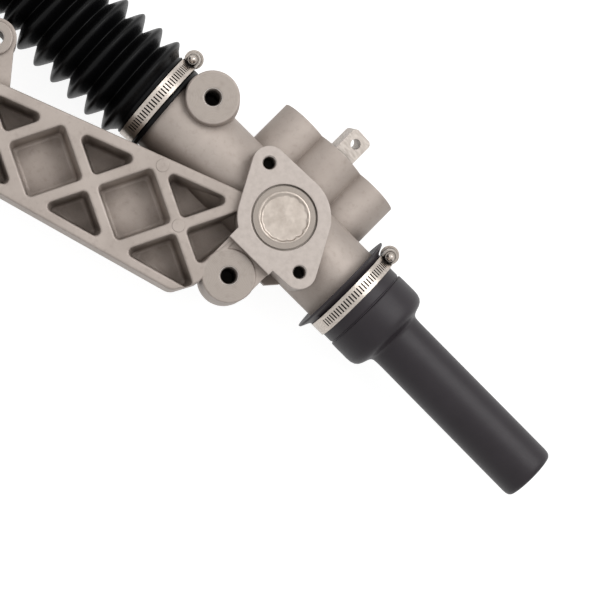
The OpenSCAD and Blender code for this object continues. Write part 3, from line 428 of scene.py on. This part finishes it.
def rubber(name, light, dark, roughness, grain_mm, depth_mm, shine=0.3):
    """Moulded rubber: a faint cloudy colour and the mould's fine grain."""
    material, tree, shader, place = new_material(
        name, Roughness=roughness, IOR=1.5, Specular_IOR_Level=shine)
    cloud, fine = (add(tree, "ShaderNodeTexNoise", {
        "Vector": place, "Scale": 1 / (size_mm * MM), "Detail": detail, "Roughness": 0.6})
        .outputs["Fac"] for size_mm, detail in ((CLOUD_MM, 3), (grain_mm, 4)))
    rough = add(tree, "ShaderNodeMapRange", {
        "Value": fine, "To Min": roughness - 0.05, "To Max": roughness + 0.08, **WIDE})
    wire(tree, shader, painted(tree, cloud, MIDDLE, light, dark), fine, depth_mm, 0.5,
         rough.outputs[0])
    return material


# %% [markdown]
# ## The finishes by name
# The record gives each piece the name of a finish, and this table makes them. Four
# of them lie inside the gear: the oily bronze of the bushes and the bearing's cage,
# the grey sintered yoke, the dull nitrile rubber of the stops, and the milky acetal
# of the yoke's liner.

# %% Finishes
ALONG_RACK = (0.08, 1.0, 1.0)
ROUND_RACK = (6.0, 1.0, 1.0)
EVEN = (1, 1, 1)
finishes = {
    "cast_aluminium": cast_aluminium(),
    "machined_aluminium": turned_aluminium(),
    "ground_steel": streaked_metal("ground steel", "#B4ACA5", "#A39B94", 0.46, ALONG_RACK, 1.2),
    "zinc_steel": plated_steel(),
    "stainless_band": streaked_metal(
        "stainless strip", "#C8BFB6", "#ABA29A", 0.34, ROUND_RACK, 2.5),
    "bronze": streaked_metal("bearing bronze", "#B08D57", "#927243", 0.38, ALONG_RACK, 1.5),
    "yoke_metal": streaked_metal("sintered metal", "#9A9C9E", "#838588", 0.5, EVEN, 1.0),
    "black_rubber": rubber(
        "thermoplastic rubber", "#060607", "#040405", 0.36, 0.6, 0.02, shine=0.14),
    "cover_rubber": rubber("moulded EPDM rubber", "#2E292D", "#292428", 0.44, 0.7, 0.03),
    "stop_rubber": rubber("nitrile rubber", "#262626", "#1D1D1D", 0.6, 0.8, 0.03),
    "liner_plastic": rubber("acetal", "#E6E2D8", "#DAD5C9", 0.35, 0.9, 0.01),
}
slots = {entry["node"]: entry["material_slot"] for entry in frame["record"]["subparts"]}
for node, obj in frame["nodes"].items():
    obj.data.materials.clear()
    obj.data.materials.append(finishes[slots[node]])
print("finishes:", len(finishes), "on", len(frame["nodes"]), "pieces")


# %% [markdown]
# ## Making a surface
# Every form here is one grid of points, worked out whole with numpy and handed to
# the mesh in one call. A closed profile that is turned gives a wall with an inside
# and an outside. Where a grid ends it gets a cap, so each mesh is closed, and its
# volume tells whether its faces look outwards.

# %% Grid meshes
def outward(points, faces):
    """Whether faces look outwards: the sum of a . (b x c) over the triangles is positive."""
    a, b, c, d = (points[faces[:, k]] for k in range(4))
    volumes = [np.einsum("ij,ij->i", a, np.cross(p, q)) for p, q in ((b, c), (c, d))]
    return (volumes[0] + volumes[1]).sum() > 0


def grid_mesh(name, points, finish, body=None, close_rows=True):
    """A closed mesh from points (rows, columns, 3).

    Its columns always close on themselves, and rows that stay open get caps."""
    rows, columns, _ = points.shape
    row = np.arange(rows if close_rows else rows - 1)
    i, j = np.meshgrid(row, np.arange(columns), indexing="ij")
    corner = [(i, j), ((i + 1) % rows, j), ((i + 1) % rows, (j + 1) % columns),
              (i, (j + 1) % columns)]
    quads = np.stack([(u * columns + v).ravel() for u, v in corner], axis=1)
    flat = points.reshape(-1, 3)
    middle = flat.mean(axis=0)
    faces = quads.tolist()
    if not close_rows:
        last = rows * columns - 1
        faces += [list(range(columns)), list(range(last, last - columns, -1))]
    if not outward(flat - middle, quads):
        faces = [face[::-1] for face in faces]
    mesh = bpy.data.meshes.new(name)
    mesh.from_pydata(flat.tolist(), [], faces)
    mesh.polygons.foreach_set("use_smooth", np.arange(len(faces)) < len(quads))
    mesh.update()
    piece = bpy.data.objects.new(name, mesh)
    bpy.context.scene.collection.objects.link(piece)
    mesh.materials.append(finishes[finish])
    if body:
        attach(piece, body)
    print(name, "has", len(faces), "faces")
    return piece


# %% [markdown]
# The rubber pieces are turned round the rack's axis from an outline. A moulded
# piece has no sharp corners, so an outline can be given by its corners alone, each
# with a size that says how far its rounding reaches along both sides.

# %% Turned outlines
def turned(profile, sides, shift, skew):
    """Turns (x, r) profile points round the rack's axis.

    y = -r sin t + shift(x), z = RACK_Z + r cos t, and x moves by skew(x) y, which
    tilts a ring that was fitted a little askew."""
    x, radius = profile.T[:, :, None]
    turn = np.linspace(0, 2 * np.pi, sides, endpoint=False)[None, :]
    across = -radius * np.sin(turn)
    return np.stack([x + skew(x) * across, across + shift(x), RACK_Z + radius * np.cos(turn)],
                    axis=2)


def rounded_profile(corners, steps=5):
    """An open outline of (x, r, fillet) corners in mm, with a quadratic arc at each inner one.

    An arc runs between the two points one fillet away from its corner, or half
    way along a side that is shorter than that."""
    corners = np.array(corners, float)
    here, size = corners[1:-1, :2], corners[1:-1, 2:]
    sides = [corners[:-2, :2] - here, corners[2:, :2] - here]
    start, end = [here + side * np.minimum(size / np.linalg.norm(side, axis=1, keepdims=True), 0.49)
                  for side in sides]
    t = np.linspace(0, 1, steps)[None, :, None]
    arcs = (1 - t) ** 2 * start[:, None] + 2 * t * (1 - t) * here[:, None] + t ** 2 * end[:, None]
    return np.concatenate([corners[:1, :2], arcs.reshape(-1, 2), corners[-1:, :2]]) * MM


# %% [markdown]
# ## The bellows
# A steering bellows has sharp folds, so that it closes to a short stack, and small
# rounded rims where the rubber turns. A fold is described by how far a point is
# from the rim, from 0 at the rim to 1 at the root. The rubber sags a little
# between its two fixed ends, and its wide cuff was pushed on slightly askew.

# %% Bellows sizes in mm
FOLDS = 13
FOLD_START, FOLD_PITCH = -108.0, -13.4
FOLD_END = FOLD_START + FOLDS * FOLD_PITCH
WIDE_RIM, NARROW_RIM, FOLD_DEPTH = 34.7, 29.0, 9.3
RIM_ROUNDING, ROOT_ROUNDING = 0.3, 0.07
WALL = 1.9
CUFF_INSIDE, CUFF_OUTSIDE = 25.85, 27.95
LIP_START, LIP_RISE = -93.6, 1.0
RACK_CUFF_INSIDE, RACK_CUFF_OUTSIDE = 13.05, 15.2
SAG, SKEW, SKEW_END = 4.0, -0.072, 0.45
POINTS_PER_FOLD, BELLOWS_SIDES = 22, 112
print("folds from x", FOLD_START, "to", round(FOLD_END, 1), "mm")


# %% The bellows' bends and folds
def along_folds(x):
    """0 at the first fold and 1 at the last one."""
    return np.clip((x / MM - FOLD_START) / (FOLD_END - FOLD_START), 0, 1)


def sag(x):
    """The axis moves across by SAG sin(pi t)."""
    return -SAG * MM * np.sin(np.pi * along_folds(x))


def askew(x):
    """The skew fades out over the first folds, up to SKEW_END of their length."""
    return SKEW * np.clip(1 - along_folds(x) / SKEW_END, 0, 1)


def soft_corner(a, rounding):
    """|a| with a rounded corner at 0, scaled to run from 0 to 1."""
    low, high = rounding, np.sqrt(1 + rounding ** 2)
    return (np.sqrt(a ** 2 + rounding ** 2) - low) / (high - low)


def fold_line(samples):
    """(x, r) along the folds: r = rim - depth f, where f is 0 at a rim and 1 at a root.

    The first rim stands on a plain cone that rises from half a millimetre under
    the cuff's face, not on a root."""
    t = (np.arange(FOLDS * samples) + 0.5) / samples
    away = 2 * np.abs(t % 1 - 0.5)
    drop = 1 - soft_corner(1 - soft_corner(away, RIM_ROUNDING), ROOT_ROUNDING)
    rim = WIDE_RIM + (NARROW_RIM - WIDE_RIM) * t / FOLDS
    cone = CUFF_OUTSIDE + (WIDE_RIM - CUFF_OUTSIDE) * 2 * t - 0.5
    line = rim - FOLD_DEPTH * drop
    return np.stack([FOLD_START + FOLD_PITCH * t, np.where(t < 0.5, np.maximum(line, cone), line)],
                    axis=1)


# %% [markdown]
# The wall is one closed outline: along the outside of the wide cuff with its raised
# lip, over the folds, round the narrow cuff, and back along the inside.

# %% Bellows
folds = fold_line(POINTS_PER_FOLD)
LIP_TOP = CUFF_OUTSIDE + LIP_RISE
housing_cuff = [[LIP_START, CUFF_INSIDE], [LIP_START, LIP_TOP - 0.4],
                [LIP_START - 0.3, LIP_TOP], [LIP_START - 2.5, LIP_TOP],
                [LIP_START - 2.9, LIP_TOP - 0.3], [LIP_START - 3.1, CUFF_OUTSIDE],
                [FOLD_START + 1.9, CUFF_OUTSIDE], [FOLD_START + 1.5, CUFF_OUTSIDE + 0.6],
                [FOLD_START + 0.7, CUFF_OUTSIDE + 0.9]]
rack_cuff = [[FOLD_END - 0.5, RACK_CUFF_OUTSIDE + 3.6], [FOLD_END - 1.2, RACK_CUFF_OUTSIDE + 0.5],
             [FOLD_END - 2.0, RACK_CUFF_OUTSIDE], [FOLD_END - 12.6, RACK_CUFF_OUTSIDE],
             [FOLD_END - 13.0, RACK_CUFF_OUTSIDE - 0.4], [FOLD_END - 13.0, RACK_CUFF_INSIDE],
             [FOLD_END - 1.0, RACK_CUFF_INSIDE]]
inside = folds[::-1] - [0, WALL]
housing_end = [[FOLD_START - 3.6, CUFF_INSIDE + 0.9], [FOLD_START - 3.2, CUFF_INSIDE]]
wall = np.concatenate([housing_cuff, folds, rack_cuff, inside, housing_end]) * MM
bellows = grid_mesh("bellows", turned(wall, BELLOWS_SIDES, sag, askew), "black_rubber")
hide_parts("bellows_boot")
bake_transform(bellows)

# %% [markdown]
# ## The end cover
# The closed cover is pulled over the housing's tube like a cap. Its thin flared
# lip stands up in front of the clamp, a collar follows behind it with a parting
# groove, and a soft shoulder runs down to the plain tube, whose end is rounded.

# %% End cover sizes in mm
COVER_START, COVER_END = cover_low[0] / MM, cover_high[0] / MM
SEAT_START, SEAT_END = 57.0, 66.4  # where the clamp sits
SLEEVE_END, HOLLOW_START = 68.8, 71.6  # inside, from the fit on the housing to the collar
COLLAR_START, COLLAR_END, TUBE_START = 73.2, 92.9, 96.4
LIP, COLLAR, TUBE, TUBE_END = 34.9, 28.6, 17.5, 17.9
COVER_WALL, END_FLAT = 2.0, 12.0
COVER_SIDES = 128
LEAN, LEAN_CURVE = 0.9, 1.3
print("the cover runs from x", round(COVER_START, 1), "to", round(COVER_END, 1), "mm")


# %% End cover
def lean(x):
    """The tube hangs a little: the axis moves by up to LEAN towards the closed end."""
    along = np.clip((x / MM - COLLAR_END) / (COVER_END - COLLAR_END), 0, 1)
    return -LEAN * MM * along ** LEAN_CURVE


def straight(x):
    """No skew."""
    return 0 * x


tube_outside = [
    (COVER_END, END_FLAT, 0), (COVER_END, TUBE_END - 0.2, 5.0), (TUBE_START + 6, TUBE, 4.0),
    (TUBE_START + 1.2, TUBE + 0.3, 2.0), (TUBE_START - 0.4, TUBE + 2.2, 1.8)]
collar_and_groove = [
    (COLLAR_END, COLLAR, 6.5), (COLLAR_START + 5, COLLAR, 2.0),
    (COLLAR_START + 0.5, COLLAR - 0.1, 0.7), (COLLAR_START + 0.1, CUFF_OUTSIDE - 0.5, 0.2),
    (COLLAR_START - 0.5, CUFF_OUTSIDE - 0.5, 0.2), (COLLAR_START - 0.9, CUFF_OUTSIDE, 0.3)]
seat_and_lip = [
    (SEAT_END, CUFF_OUTSIDE, 0.4), (SEAT_START, CUFF_OUTSIDE, 0.2),
    (SEAT_START - 0.2, CUFF_OUTSIDE + 0.5, 0.3), (COVER_START + 3.6, CUFF_OUTSIDE + 1.3, 2.0),
    (COVER_START + 1.3, LIP - 0.4, 0.3), (COVER_START + 0.1, LIP, 0.3),
    (COVER_START, LIP - 1.0, 0.3), (COVER_START + 1.6, CUFF_OUTSIDE + 0.4, 1.6)]
cover_inside = [
    (COVER_START + 1.8, CUFF_INSIDE, 0.3), (SLEEVE_END, CUFF_INSIDE, 0.3),
    (HOLLOW_START, COLLAR - COVER_WALL, 0.6), (COLLAR_END - 3.5, COLLAR - COVER_WALL, 3.0),
    (TUBE_START - 2.5, TUBE - COVER_WALL + 2, 1.5), (TUBE_START + 1, TUBE - COVER_WALL, 2.0),
    (COVER_END - COVER_WALL, TUBE_END - COVER_WALL, 3.0),
    (COVER_END - COVER_WALL, END_FLAT - 2, 0)]
cover_outline = rounded_profile(tube_outside + collar_and_groove + seat_and_lip + cover_inside)
cover = grid_mesh("cover", turned(cover_outline, COVER_SIDES, lean, straight), "cover_rubber",
                  "housing", close_rows=False)
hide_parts("end_cover")

# %% [markdown]
# ## Threads in the tapped holes
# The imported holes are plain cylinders. In the photograph their threads show as fine
# ridges below a small countersink, so each hole gets one helical ridge that runs
# in from the wall and fades out at both ends.

# %% Threads
STEPS_PER_TURN = 40
ROOT_DEPTH = 0.06  # mm that a ridge's foot lies inside the wall
RIDGE_ACROSS = (-0.46, -0.1, 0.1, 0.46)  # foot, crest, crest and foot, in pitches


def thread(name, centre, top, radius, pitch, turns, height):
    """A ridge along a helix: a = 2 pi u, z = top - pitch u, with a trapezium across it."""
    u = np.linspace(0, turns, int(turns * STEPS_PER_TURN) + 1)[:, None]
    fade = np.clip(np.minimum(u, turns - u) * 2, 0, 1)
    inward = np.array([-ROOT_DEPTH, height, height, -ROOT_DEPTH])[None, :]
    along = np.array(RIDGE_ACROSS)[None, :] * pitch
    r = radius - np.where(inward > 0, inward * fade, inward)
    a = 2 * np.pi * u
    points = np.stack([centre[0] + r * np.cos(a) * MM, centre[1] + r * np.sin(a) * MM,
                       (top - pitch * u + along) * MM + 0 * r], axis=2)
    grid_mesh(name, points, "cast_aluminium", "housing", close_rows=False)


for side, label in ((1, "right"), (-1, "left")):
    thread("flange_thread_" + label, side * EAR, -1.2, 4.0, 1.25, 10, 0.5)
for centre, label in ((TUBE_BOSS, "tube_boss"), (FLANGE_BOSS, "flange_boss")):
    thread(label + "_thread", centre, -7.2, 5.2, 1.5, 14, 0.6)

# %% [markdown]
# ## The staked cap
# The cap is a dished disc pressed into the plug and held by staking: a punch
# pushed its wall outwards at fourteen places. The wall between the flat floor and
# the rim is scalloped there, and it catches the light as a bright uneven ring.

# %% Staked cap sizes in mm
CAP_FLOOR, CAP_RIM, CAP_BACK = -1.5, -0.38, -3.1
FLOOR_R, RIM_START, RIM_END, SEAT_R = 12.6, 14.5, 15.3, 14.6
STAKES, SCALLOP, EMBOSS = 14, 1.1, 0.015
CAP_SIDES = 392
print("the cap has", STAKES, "stakes and", CAP_SIDES // STAKES, "sides for each")


# %% Staked cap
def staked_cap():
    """z rises from floor to rim by 3 s^2 - 2 s^3 between r = floor_r + scallop(a) and the rim.

    scallop(a) = SCALLOP |cos(STAKES a / 2)| made uneven by a slow wave, and the
    floor is embossed by up to EMBOSS where the press bottomed."""
    a = np.linspace(0, 2 * np.pi, CAP_SIDES, endpoint=False)[None, :]
    uneven = 0.7 + 0.6 * np.cos(a - 0.1) + 0.2 * np.sin(3 * a + 2.1)
    inner = FLOOR_R - 0.3 + SCALLOP * np.abs(np.cos(STAKES / 2 * a)) * uneven
    across = np.linspace(0.03, 1, 40)[:, None]
    floor_r = inner * across
    emboss = EMBOSS * np.sin(floor_r * 1.1 + 2 * np.sin(a)) * np.sin(2 * a + floor_r * 0.6)
    floor_z = CAP_FLOOR + emboss * (1 - across ** 4)
    s = np.linspace(0, 1, 12)[1:, None]
    wall_r = inner + (RIM_START - inner) * s
    wall_z = CAP_FLOOR + (CAP_RIM - CAP_FLOOR) * (3 * s ** 2 - 2 * s ** 3) + 0 * a
    turn = np.linspace(0, np.pi / 2, 6)[1:, None]
    rim_r = RIM_START + (RIM_END - RIM_START) * np.sin(turn) + 0 * a
    rim_z = CAP_RIM - 0.25 * (1 - np.cos(turn)) + 0 * a
    side_r = np.array([SEAT_R, SEAT_R, 4.0])[:, None] + 0 * a
    side_z = np.array([CAP_RIM - 0.3, CAP_BACK, CAP_BACK])[:, None] + 0 * a
    radius = np.concatenate([floor_r, wall_r, rim_r, side_r])
    height = np.concatenate([floor_z, wall_z, rim_z, side_z])
    return np.stack([radius * np.cos(a), radius * np.sin(a), height], axis=2) * MM


cap = grid_mesh("staked_cap", staked_cap(), "zinc_steel", "housing", close_rows=False)
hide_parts("plug_cap")

# %% [markdown]
# ## Ejector marks
# Two round marks on the lattice's nodes show where pins pushed the casting out of
# its die. Each is a flat disc that stands a tenth of a millimetre proud.

# %% Ejector marks
ARM_FACE = -5.0
MARKS = [(-40.2, -46.6), (-71.4, -28.3)]
MARK_RADII, MARK_HEIGHTS = [3.95, 3.9, 3.7], [-0.3, 0.07, 0.12]  # from its foot to its top
MARK_SIDES = 64
for number, (x, y) in enumerate(MARKS):
    turn = np.linspace(0, 2 * np.pi, MARK_SIDES, endpoint=False)[None, :]
    radius = np.array(MARK_RADII)[:, None]
    height = np.array(MARK_HEIGHTS)[:, None] + ARM_FACE
    mark = np.stack([x + radius * np.cos(turn), y + radius * np.sin(turn), height + 0 * turn],
                    axis=2) * MM
    grid_mesh("ejector_mark_" + str(number), mark, "cast_aluminium", "housing", close_rows=False)


# %% [markdown]
# ## Floor and background
# The floor is pale and the background is white, so the floor adds some white of
# its own where the camera sees it, or a mirror or glass shows it. Under the part it
# still takes its shadow. A Light Path node tells these rays from the light that
# bounces off the part, which the white must not brighten.

# %% Floor
FLOOR_Z = min(cad_low[2], boot_low[2]) - 0.2 * MM
SPAN = 6.0  # metres from the middle to each side
FLOOR_GLOW = 0.9


def background_rays(tree):
    """1 for the rays that show a background: from the camera, off a mirror or through glass."""
    rays = add(tree, "ShaderNodeLightPath")
    return combined(tree, "MAXIMUM", [
        rays.outputs["Is Camera Ray"], rays.outputs["Is Glossy Ray"],
        rays.outputs["Is Transmission Ray"]])


floor_mesh = bpy.data.meshes.new("floor")
corners = [(x * SPAN, y * SPAN, FLOOR_Z) for x, y in ((-1, -1), (1, -1), (1, 1), (-1, 1))]
floor_mesh.from_pydata(corners, [], [(0, 1, 2, 3)])
floor = bpy.data.objects.new("floor", floor_mesh)
bpy.context.scene.collection.objects.link(floor)
material = bpy.data.materials.new("white studio floor")
material.use_nodes = True
tree = material.node_tree
tree.nodes.clear()
strength = add(tree, "ShaderNodeMapRange", {"Value": background_rays(tree), "To Max": FLOOR_GLOW})
paint = add(tree, "ShaderNodeBsdfDiffuse", {"Color": "#A0A0A0"})
glow = add(tree, "ShaderNodeEmission", {"Strength": strength.outputs[0]})
both = add(tree, "ShaderNodeAddShader", {0: paint.outputs[0], 1: glow.outputs[0]})
add(tree, "ShaderNodeOutputMaterial", {"Surface": both.outputs[0]})
floor_mesh.materials.append(material)
print("the floor lies", round(-FLOOR_Z / MM, 1), "mm under the flange's face")

# %% [markdown]
# A product photograph like this one is lit mostly from above, which keeps the
# part's upright walls dark. So the sky's diffuse light fades towards the horizon.
# The camera, mirrors and glass see a plain white sky all round.

# %% World
SKY_LOW, SKY_HIGH, HIGH_AT = 0.05, 0.5, 0.95  # at the horizon, high up, and how high that is
world = bpy.data.worlds.new("studio")
world.use_nodes = True
bpy.context.scene.world = world
tree = world.node_tree
tree.nodes.clear()
ray = add(tree, "ShaderNodeTexCoord").outputs["Generated"]
height = add(tree, "ShaderNodeSeparateXYZ", {"Vector": ray}).outputs["Z"]
fade = add(tree, "ShaderNodeMapRange", {
    "Value": height, "From Max": HIGH_AT, "To Min": SKY_LOW, "To Max": SKY_HIGH})
fill = add(tree, "ShaderNodeBackground", {"Color": "#FFFFFF", "Strength": fade.outputs[0]})
white = add(tree, "ShaderNodeBackground", {"Color": "#FFFFFF", "Strength": 1.0})
sky = add(tree, "ShaderNodeMixShader", {
    0: background_rays(tree), 1: fill.outputs[0], 2: white.outputs[0]})
add(tree, "ShaderNodeOutputWorld", {"Surface": sky.outputs[0]})
print("the sky's light rises from", SKY_LOW, "at the horizon to", SKY_HIGH, "overhead")


# %% [markdown]
# ## Lamps
# Two large soft lamps hang over the part. The key lamp stands towards the picture's
# upper right, and a weak one at its upper left fills the shadows.

# %% Lamps
def soft_box(name, at, watts, size, aim=(0, -0.02, 0)):
    """A square area lamp at a point, turned to face aim."""
    data = bpy.data.lights.new(name, "AREA")
    data.energy = watts
    data.size = size
    lamp = bpy.data.objects.new(name, data)
    lamp.location = at
    lamp.rotation_euler = (Vector(aim) - Vector(at)).to_track_quat("-Z", "Y").to_euler()
    bpy.context.scene.collection.objects.link(lamp)
    print("lamp", name, "of", watts, "W")


soft_box("key", (0.35, 0.95, 1.20), 14.5, 1.2)
soft_box("fill", (-0.85, 0.00, 1.30), 3, 1.3)
